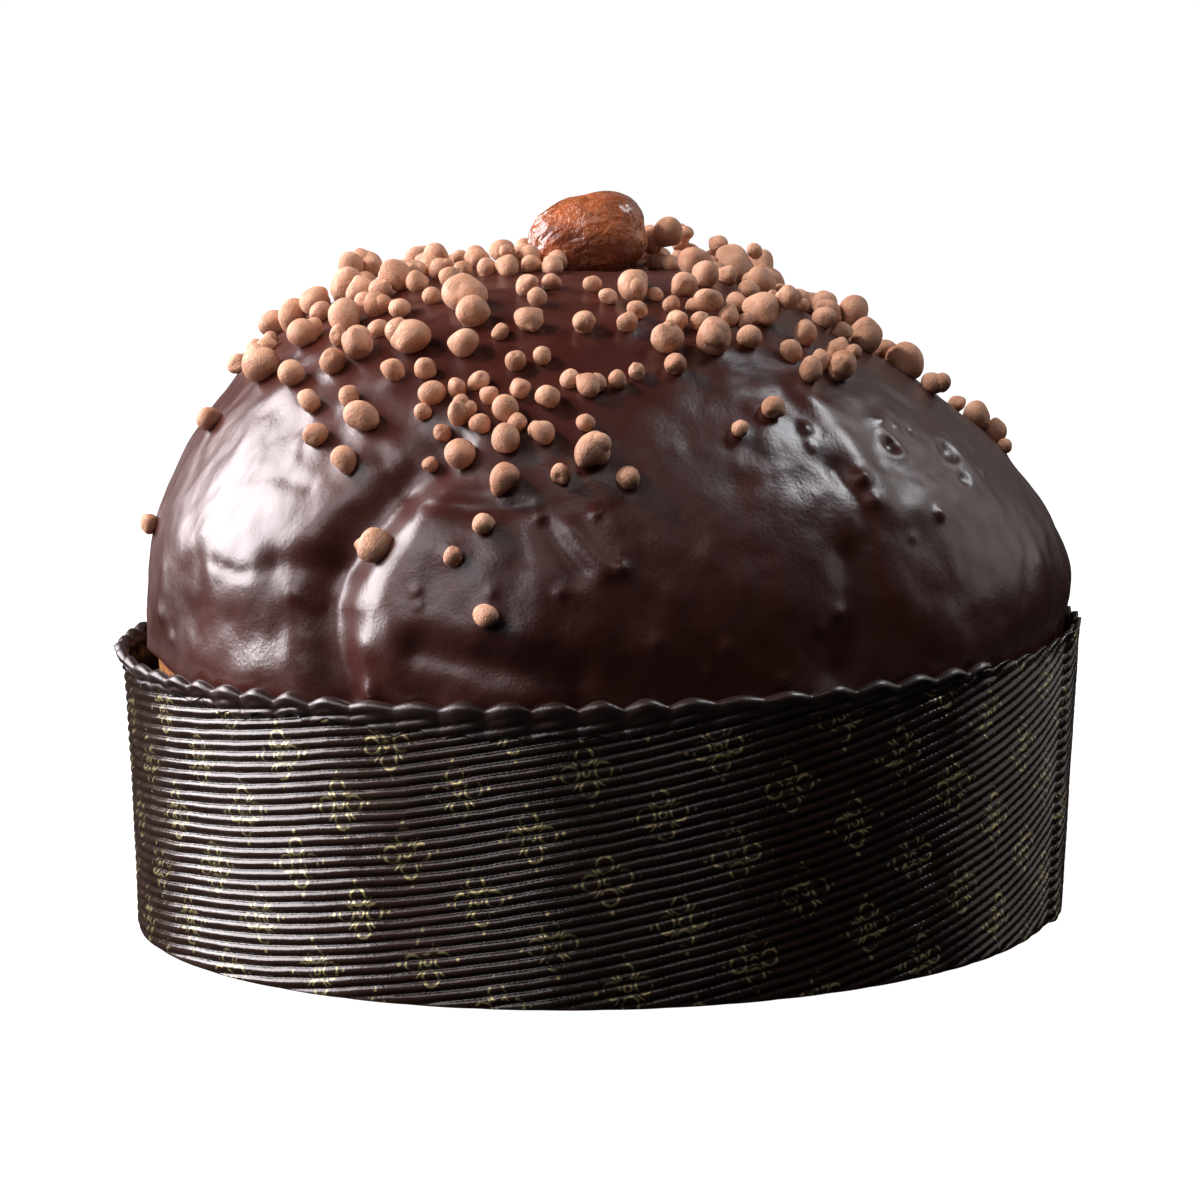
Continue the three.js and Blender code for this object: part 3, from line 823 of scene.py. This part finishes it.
def ball(level):
    """Points and triangles of a unit ball."""
    shape = bmesh.new()
    bmesh.ops.create_icosphere(shape, subdivisions=level, radius=1.0)
    points = np.array([vertex.co[:] for vertex in shape.verts])
    faces = np.array([[vertex.index for vertex in face.verts] for face in shape.faces])
    shape.free()
    return points, faces


def lumpy(points, chance, bumps, size):
    """A unit ball's points with soft bumps and dents, slightly longer one way."""
    radius = np.ones(len(points))
    for _ in range(bumps):
        place = chance.normal(size=3)
        place /= np.linalg.norm(place)
        away = np.linalg.norm(points - place, axis=1)
        radius += chance.uniform(-0.75, 1) * size * bell(away, chance.uniform(0.3, 0.85))
    long_way = chance.normal(size=3)
    long_way /= np.linalg.norm(long_way)
    stretch = chance.uniform(-0.1, 0.24)
    shaped = points * radius[:, None]
    return shaped + stretch * (shaped @ long_way)[:, None] * long_way


def pearl_shape(unit, chance, centre, radius):
    """One pearl, and sometimes a second or third lobe stuck to it."""
    parts = [centre + radius * lumpy(unit, chance, 9, 0.27)]
    lobes = 0
    if radius > 2.2 and chance.uniform() < 0.42:
        lobes = 1 + int(chance.uniform() < 0.3)
    for _ in range(lobes):
        aside = chance.normal(size=3)
        aside[2] = abs(aside[2]) * 0.4
        aside /= np.linalg.norm(aside)
        size = radius * chance.uniform(0.55, 0.75)
        parts.append(centre + aside * radius * 0.72 + size * lumpy(unit, chance, 6, 0.2))
    return parts


def pearl_pieces(dome, material):
    chance = np.random.default_rng(SEED)
    places = MARKED_PEARLS + SMALL_PEARLS + back_pearls(chance)
    centres = settle(dome, places)
    dome.add_sockets(places)
    unit, faces = ball(PEARL_FINENESS)
    groups = {}
    for index, (centre, radius) in enumerate(centres):
        azimuth = places[index][0]
        side = ["front", "right", "back", "left"][int(((azimuth + 45) % 360) // 90)]
        groups.setdefault(side, []).append((index, centre, radius))
    for side, members in groups.items():
        parts = []
        nodes = []
        for index, centre, radius in members:
            parts += pearl_shape(unit, chance, centre, radius)
            if index < len(MARKED_PEARLS):
                nodes.append(f"crunch_pearl_{index + 1:02d}")
        all_faces = [faces + len(unit) * number for number in range(len(parts))]
        piece = new_mesh(f"pearls_{side}", np.concatenate(parts), [np.concatenate(all_faces)])
        finish_piece(piece, material, "crunch_pearl", *nodes)


# ---------------------------------------------------------------- chestnut


CHESTNUT_HALF = (13.6, 10.6, 9.6)
CHESTNUT_TILT = 17  # its right end is raised
CHESTNUT_SHIFT = (1.0, 0, -2.0)  # from the middle of its solid
CHESTNUT_FINENESS = 7


def chestnut_piece(material):
    low, high = (np.array(corner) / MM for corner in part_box("candied_chestnut"))
    middle = (low + high) / 2
    tilt = math.radians(CHESTNUT_TILT)
    unit, faces = ball(CHESTNUT_FINENESS)
    x, y, z = unit.T
    # blunt at both ends, a little lower at the left, flatter below
    round_off = (np.abs(x) ** 2.6 + np.abs(y) ** 2.2 + np.abs(z) ** 2.3) ** (-1 / 2.4)
    points = unit * round_off[:, None] * np.array(CHESTNUT_HALF)
    points[:, 2] -= 1.6 * np.clip(-x, 0, 1) ** 2.5
    points[:, 2] = np.where(points[:, 2] < 0, points[:, 2] * 0.93, points[:, 2])
    # wrinkles run along the nut and gather at its left end
    along = points * np.array([0.4, 1.0, 1.0])
    wrinkle = 1 - np.abs(noise_at(along, 2.4, 4)) * 2
    crease = 1 - np.abs(noise_at(along, 1.2, 5)) * 2
    swell = noise_at(points, 7, 6)
    gather = 0.35 + 0.65 * smoothstep(0.5, -0.6, x)
    radial = 0.7 * swell + gather * (0.34 * wrinkle + 0.16 * crease)
    radial -= 1.2 * bell(np.hypot(x - 0.93, z + 0.15), 0.22) * bell(y + 0.3, 0.7)
    points += unit * radial[:, None]
    turned_x = points[:, 0] * math.cos(tilt) - points[:, 2] * math.sin(tilt)
    turned_z = points[:, 0] * math.sin(tilt) + points[:, 2] * math.cos(tilt)
    points = np.stack([turned_x, points[:, 1], turned_z], -1) + middle + CHESTNUT_SHIFT
    piece = new_mesh("chestnut", points, [faces])
    finish_piece(piece, material, "candied_chestnut", "candied_chestnut")


# ---------------------------------------------------------------- paper mould


RIDGE_WANDER = [(0.16, 26, 7), (0.07, 7, 8)]  # amount, size, seed
PAPER_DENTS = [(0.12, 9, 9), (0.05, 2.2, 10)]
WALL_ROWS = 330
INNER_ROW_STEP = 13  # the inside has one row for this many outside
FINE_START = 1.8  # narrow columns over the first degrees of the strip
PRESSED_EDGE = 1.7  # and its edge is pressed down onto the layer below


def rim_height(azimuth):
    return RIM_MEAN_HEIGHT + RIM_TILT * np.sin(np.radians(azimuth))


def mould_radius(azimuth, z):
    """To the tips of the ridges."""
    rise = z / rim_height(azimuth)
    flare = RIM_FLARE * bell(turn_between(azimuth, FLARE_AZIMUTH), FLARE_SPREAD)
    return FOOT_RADIUS + (RIM_RADIUS - FOOT_RADIUS) * rise + flare * rise**3


def lap_offset(left_over):
    """Offset of the strip from the mould's radius, by the angle left to its end under the lap."""
    return LAP_STEP * (smoothstep(LAP_ANGLE, LAP_ANGLE + LAP_RAMP, left_over) - 1)


def angle_to_end(azimuth):
    """Angle left to the strip's end from an azimuth, on the innermost layer there."""
    return (SEAM_AZIMUTH + LAP_ANGLE - azimuth) % 360


def scallop(azimuth):
    """Rounded humps of the crimped rim with notches between, from -1 to 1, a little uneven."""
    angle = np.radians(azimuth)
    drift = 0.6 * np.sin(3 * angle + 1) + 0.5 * np.sin(7 * angle)
    return 2 * np.abs(np.cos((SCALLOPS * angle + drift) / 2)) ** 1.2 - 1


def scallop_size(azimuth):
    angle = np.radians(azimuth)
    return 0.75 + 0.2 * np.sin(9 * angle + 2) + 0.15 * np.sin(17 * angle)


def ridge_profile(azimuth, rise):
    """How far a place on the strip is up a ridge, from 0 in a valley to 1 on a tip."""
    where = around_axis(azimuth, RIM_RADIUS, rise * rim_height(azimuth))
    wander = layered_noise(where, RIDGE_WANDER)
    angle = np.radians(azimuth)
    swing = CLIMB_SWING * np.cos(angle - math.radians(CLIMB_SWING_AZIMUTH))
    climbed = RIM_RADIUS * (RIDGE_CLIMB * angle - swing)
    phase = RIDGE_COUNT * (rise - climbed / RIM_MEAN_HEIGHT) + wander
    place = phase - np.floor(phase)  # 0 and 1 are the tips
    valley = 0.5 + RIDGE_DROOP
    from_tip = np.where(place < valley, place / valley, (1 - place) / (1 - valley))
    return 1 - from_tip**2.5


def wall_piece(material, edge_material):
    """One strip of ridged paper whose end laps over its start."""
    rows = WALL_ROWS
    fine = np.linspace(0, FINE_START, 10)[:-1]
    strip = np.concatenate([fine, np.linspace(FINE_START, 360 + LAP_ANGLE, 560)])
    columns = len(strip)
    azimuth = (SEAM_AZIMUTH + strip - 360)[:, None]
    offset = lap_offset(360 + LAP_ANGLE - strip)[:, None]
    pressed = (1 - smoothstep(0, PRESSED_EDGE, strip))[:, None]
    rise = np.linspace(0, 1, rows)[None, :]
    height = rim_height(azimuth)
    near_rim = smoothstep(0.93, 1.0, rise)
    wave = scallop(azimuth) * scallop_size(azimuth)
    z = rise * height + RIM_WAVE * wave * near_rim
    where = around_axis(azimuth, RIM_RADIUS, z)
    ridge = ridge_profile(azimuth, rise)
    dents = layered_noise(where, PAPER_DENTS)
    depth = RIDGE_DEPTH * (1 - 0.25 * near_rim) * (0.35 + 0.65 * smoothstep(0, 0.035, rise))
    outer = mould_radius(azimuth, rise * height) + offset + dents - depth * (1 - ridge)
    outer = outer + 0.5 * wave * near_rim - LAP_STEP * pressed
    inner = mould_radius(azimuth, rise * height) + offset - RIDGE_DEPTH - PAPER_THICKNESS
    inner = inner + (0.5 * wave + 0.5) * near_rim - LAP_STEP * pressed
    outside = around_axis(azimuth, outer, z)
    picked = np.arange(rows - 1, -1, -INNER_ROW_STEP)
    inside = around_axis(azimuth, inner, z)[:, picked]
    section = np.concatenate([outside, inside], 1)
    size = section.shape[1]
    # columns of the strip are the grid's rows here, so faces are wound the other way
    sides = grid_faces(columns, size, wrap_columns=True)[:, ::-1]
    points = section.reshape(-1, 3)

    def opposite(row):
        """The inner row across the paper from an outer one."""
        return rows + len(picked) - 1 - (row * (len(picked) - 1) / (rows - 1)).astype(int)

    caps = []
    for first, inward in ((0, False), ((columns - 1) * size, True)):
        lower = np.arange(rows - 1)
        upper = lower + 1
        across, across_next = opposite(lower), opposite(upper)
        triangles = np.stack([lower, upper, across], -1)
        turned = across != across_next
        extra = np.stack([upper[turned], across_next[turned], across[turned]], -1)
        cap = first + np.concatenate([triangles, extra])
        caps.append(cap[:, ::-1] if inward else cap)
    piece = new_mesh("paper_strip", points, [sides] + caps)
    cut = np.arange(len(piece.data.polygons)) >= len(sides)
    piece.data.polygons.foreach_set("use_smooth", ~cut)
    shade = np.zeros((columns, size), np.float32)
    shade[:, :rows] = ridge
    values = piece.data.attributes.new("ridge", "FLOAT", "POINT")
    values.data.foreach_set("value", shade.ravel())
    finish_piece(piece, material, "corrugated_paper", "paper_wall")
    piece.data.materials.append(edge_material)
    piece.data.polygons.foreach_set("material_index", cut.astype(np.int32))


RING_RADIUS = 92
RING_DEPTH = 0.35


def base_piece(material):
    """Round floor of the mould with a shallow pressed ring near its edge."""
    columns = 360
    azimuth = np.linspace(0, 360, columns, endpoint=False)
    radii = np.array([2, 20, 45, 70, 86, 90, 92, 94, 97, 99.4, BASE_RADIUS])
    dip = RING_DEPTH * bell(radii - RING_RADIUS, 2.2)
    lap = lap_offset(angle_to_end(azimuth))

    def ring(radius, z):
        return around_axis(azimuth, radius + lap * radius / BASE_RADIUS, z)

    rings = [ring(radius, fall) for radius, fall in zip(radii, dip)]
    tops = [ring(radius, BASE_TOP) for radius in radii[::-1]]
    points = np.concatenate(rings + tops)
    rows = 2 * len(radii)
    faces = grid_faces(rows, columns, wrap_columns=True)
    foot = np.arange(columns)[None, ::-1]
    head = (rows - 1) * columns + np.arange(columns)[None, :]
    piece = new_mesh("mould_floor", points, [faces, foot, head])
    finish_piece(piece, material, "base_paper", "paper_base")


# Chocolate on the rim
COAT_START = 160 - 360
COAT_END = 49
COAT_THICKNESS = 0.42
SKIRT_ROWS = 16
SKIRT_DEPTH = 4.2  # how far it hangs down, and the least that it does
SKIRT_LEAST = 1.4
HEM_UNEVENNESS = [(1.5, 22, 11), (1.1, 8, 12), (0.6, 3, 13)]  # amount, size, seed
RIM_BEAD = 0.5  # how much thicker the chocolate is along the lip


def rim_glaze_piece(material):
    """Chocolate that has run over the rim and down the outside in an uneven skirt."""
    columns = 1300
    azimuth = np.linspace(COAT_START, COAT_END, columns)
    fade_in = smoothstep(COAT_START, COAT_START + 4, azimuth)
    fade = fade_in * smoothstep(COAT_END, COAT_END - 5, azimuth)
    along = around_axis(azimuth, RIM_RADIUS, 0.0)
    ragged = layered_noise(along, HEM_UNEVENNESS)
    # deeper in front, shallower at both sides
    skirt = SKIRT_DEPTH + 1.2 * bell(azimuth + 10, 35) - 1.3 * bell(azimuth + 85, 30)
    skirt = np.maximum(skirt - 1.2 * smoothstep(15, 45, azimuth) + ragged, SKIRT_LEAST)
    skirt = skirt * (0.35 + 0.65 * fade)
    wave = scallop(azimuth) * scallop_size(azimuth)
    height = rim_height(azimuth)
    rim = mould_radius(azimuth, height) + 0.35 * wave + lap_offset(angle_to_end(azimuth))
    thick = (COAT_THICKNESS + 0.25 * noise_at(along, 9, 14)) * (0.3 + 0.7 * fade)
    top = height + RIM_WAVE * wave
    liner = RIDGE_DEPTH + PAPER_THICKNESS - 0.5
    # up the outside of the wall, from the hem of the skirt
    rows = [around_axis(azimuth, rim - 0.8, top - skirt * 0.97)]
    for share in np.linspace(1, 0.04, SKIRT_ROWS):
        z = top - skirt * share
        body = thick * smoothstep(1.05, 0.6, share) + RIM_BEAD * smoothstep(0.55, 0.12, share)
        ribbed = 0.75 * (ridge_profile(azimuth, z / height) - 1) * smoothstep(0.15, 0.75, share)
        flute = 0.3 * wave * smoothstep(1.0, 0.35, share)
        lean = mould_radius(azimuth, z) - mould_radius(azimuth, height)
        out = lean + 0.12 + body + ribbed + flute
        rows.append(around_axis(azimuth, rim + out, z))
    # over the lip and down the inside
    bead = thick + RIM_BEAD
    lip = [
        (0.12 + 0.8 * bead, 0.35),
        (0.1 + 0.35 * bead, 0.7),
        (-0.45 * liner, 0.85),
        (-liner, 0.6),
        (-liner - 0.3, 0.0),
        (-liner - 0.25, -1.2),
        (-liner + 0.25, -1.7),
        (-0.8, -1.9),
    ]
    rows += [around_axis(azimuth, rim + out, top + up) for out, up in lip]
    count = len(rows)
    faces = grid_faces(count, columns, wrap_rows=True)
    first = np.arange(count) * columns
    ends = [first[None, ::-1], first[None, :] + columns - 1]
    piece = new_mesh("rim_chocolate", np.concatenate(rows), [faces] + ends)
    finish_piece(piece, material, "chocolate", "rim_glaze")


# ---------------------------------------------------------------- loaf


# Rings of the loaf inside the mould: height, and distance from the paper
LOAF_RINGS = [
    (1.2, 9), (1.5, 5), (3, 2.6), (7, 1.2), (14, 0.9), (26, 0.8), (38, 0.8), (46, 1), (51, 1.6),
]
LOAF_ELEVATIONS = (-1, 0, 1, 2, 3, 4.5, 6, 9, 14, 20, 28, 36, 46, 56, 66, 76, 84)
CRUST_DEPTH = 2.3  # from the top of the glaze down to the crust
CRUST_ROUGHNESS = [(0.35, 6, 15), (0.25, 2.4, 16)]  # amount, size, seed
LOAF_FOOT = 1.1


def loaf_piece(dome, material):
    """The baked dough. Only a strip of its crust shows, between the glaze and the mould."""
    azimuth = dome.azimuths[::2]
    columns = len(azimuth)
    rings = []
    for z, inset in LOAF_RINGS:
        tips = mould_radius(azimuth, z) + lap_offset(angle_to_end(azimuth))
        inside = tips - RIDGE_DEPTH - PAPER_THICKNESS - inset
        rings.append(around_axis(azimuth, inside, z))
    edge = dome.point(azimuth, np.full(columns, LOWEST_ELEVATION), -2.4)
    rings.append(edge - [0, 0, 3.0])
    for elevation in LOAF_ELEVATIONS:
        rings.append(dome.point(azimuth, np.full(columns, float(elevation)), -CRUST_DEPTH))
    points = np.concatenate(rings)
    rough = layered_noise(points, CRUST_ROUGHNESS)
    away = points - dome.centre
    outward = away / np.linalg.norm(away, axis=1)[:, None]
    points = points + outward * np.minimum(rough, 0.1)[:, None]
    points[:, 2] = np.maximum(points[:, 2], LOAF_FOOT)
    faces = grid_faces(len(rings), columns, wrap_columns=True)
    foot = np.arange(columns)[None, ::-1]
    head = (len(rings) - 1) * columns + np.arange(columns)[None, :]
    piece = new_mesh("baked_loaf", points, [faces, foot, head])
    finish_piece(piece, material, "crust", "loaf")


# ---------------------------------------------------------------- studio

# Camera, millimetres and degrees
CAMERA_DISTANCE = 984.2
CAMERA_HEIGHT = 212.1
CAMERA_PITCH = -8.316
CAMERA_ROLL = -1.0
CAMERA_LENS = 135
CAMERA_SIDEWAYS = 0.65

# Floor and world: both pure white to the camera, both dark to everything else
BACKDROP_GLOW = 1.0
WORLD_GLOW = 0.01
FLOOR_REFLECTED = (0.012, 0.012, 0.012, 1)
FLOOR_SHADE = (0.19, 0.21)
FLOOR_RADIUS = 30  # metres
FLOOR_DROP = 0.0002  # metres, keeps the floor clear of the mould's underside
AIM_HEIGHT = 0.08  # metres, where the softboxes point


def camera():
    data = bpy.data.cameras.new("Camera")
    data.lens = CAMERA_LENS
    data.sensor_width = 36
    data.clip_end = 100
    view = bpy.data.objects.new("Camera", data)
    view.location = Vector((CAMERA_SIDEWAYS, -CAMERA_DISTANCE, CAMERA_HEIGHT)) * MM
    pitch = Quaternion((1, 0, 0), math.radians(90 + CAMERA_PITCH))
    roll = Quaternion((0, 0, 1), math.radians(CAMERA_ROLL))
    view.rotation_mode = "QUATERNION"
    view.rotation_quaternion = pitch @ roll
    bpy.context.scene.collection.objects.link(view)
    bpy.context.scene.camera = view


def softbox(name, azimuth, elevation, distance, size, brightness, colour):
    """A rectangular soft light that faces the dome.

    Distance and size are in metres. Brightness is that of its face.
    """
    data = bpy.data.lights.new(name, "AREA")
    data.shape = "RECTANGLE"
    data.size, data.size_y = size
    data.energy = brightness * math.pi * size[0] * size[1]
    data.color = colour
    lamp = bpy.data.objects.new(name, data)
    angle, slope = math.radians(azimuth), math.radians(elevation)
    level = math.cos(slope)
    towards = Vector((level * math.sin(angle), -level * math.cos(angle), math.sin(slope)))
    lamp.location = Vector((0, 0, AIM_HEIGHT)) + towards * distance
    lamp.rotation_mode = "QUATERNION"
    lamp.rotation_quaternion = towards.to_track_quat("Z", "Y")
    bpy.context.scene.collection.objects.link(lamp)
    return lamp


def studio():
    key = softbox("Key", -82, 47, 1.3, (0.13, 0.13), 245, (1.0, 0.95, 0.91))
    key.visible_glossy = False  # its light and shadows, without its glare on the glaze
    softbox("Left softbox", -104, 24, 1.1, (1.1, 0.66), 10.2, (1.0, 0.94, 0.97))
    softbox("Left low strip", -93, 6, 1.1, (0.5, 0.07), 17.0, (1.0, 0.95, 0.98))
    softbox("Left front softbox", -42, 32, 1.2, (0.62, 0.5), 2.9, (1.0, 0.92, 0.95))
    softbox("Right softbox", 96, 50, 1.15, (0.42, 0.34), 9.0, (0.93, 0.95, 1.0))
    softbox("Right wide softbox", 112, 24, 1.1, (0.9, 0.8), 0.6, (1.0, 0.9, 0.86))
    softbox("Back softbox", 152, 25, 1.2, (1.2, 1.0), 0.14, (1.0, 0.92, 0.88))
    softbox("Front fill", 2, 50, 1.3, (0.55, 0.3), 1.1, (1.0, 0.88, 0.86))
    bpy.context.scene.view_settings.view_transform = "Standard"
    world = bpy.data.worlds.new("Studio")
    bpy.context.scene.world = world
    world.use_nodes = True
    graph = Graph(world.node_tree)
    background = world.node_tree.nodes["Background"]
    background.inputs["Color"].default_value = (1, 1, 1, 1)
    seen = graph.add("ShaderNodeLightPath").outputs["Is Camera Ray"]
    glow = graph.remap(seen, 0.0, 1.0, WORLD_GLOW, BACKDROP_GLOW)
    graph.plug(glow, background.inputs["Strength"])


def floor():
    shape = bmesh.new()
    bmesh.ops.create_circle(shape, cap_ends=True, segments=96, radius=FLOOR_RADIUS)
    mesh = bpy.data.meshes.new("studio_floor")
    shape.to_mesh(mesh)
    shape.free()
    ground = bpy.data.objects.new("studio_floor", mesh)
    ground.location.z = -FLOOR_DROP
    bpy.context.scene.collection.objects.link(ground)
    mesh.materials.append(floor_material())


# ---------------------------------------------------------------- assembly

camera()
studio()
floor()

GLAZE = chocolate_material(
    "Chocolate glaze", (0.042, 0.0078, 0.0052, 1), (0.066, 0.0145, 0.0095, 1), 0.27, 0.42
)
RIM_CHOCOLATE = chocolate_material(
    "Chocolate on the rim", (0.021, 0.0095, 0.0075, 1), (0.038, 0.0185, 0.0155, 1), 0.3, 0.44
)
dome = Dome()
dome.add_surface_detail()
pearl_pieces(dome, pearl_material())
glaze_piece(dome, GLAZE)
loaf_piece(dome, crust_material())
wall_piece(
    paper_material("Printed ridged paper", *PAPER_COLOURS, printed=True),
    paper_material("Cut paper edge", *EDGE_COLOURS),
)
rim_glaze_piece(RIM_CHOCOLATE)
base_piece(paper_material("Plain base paper", *PAPER_COLOURS))
chestnut_piece(chestnut_material())
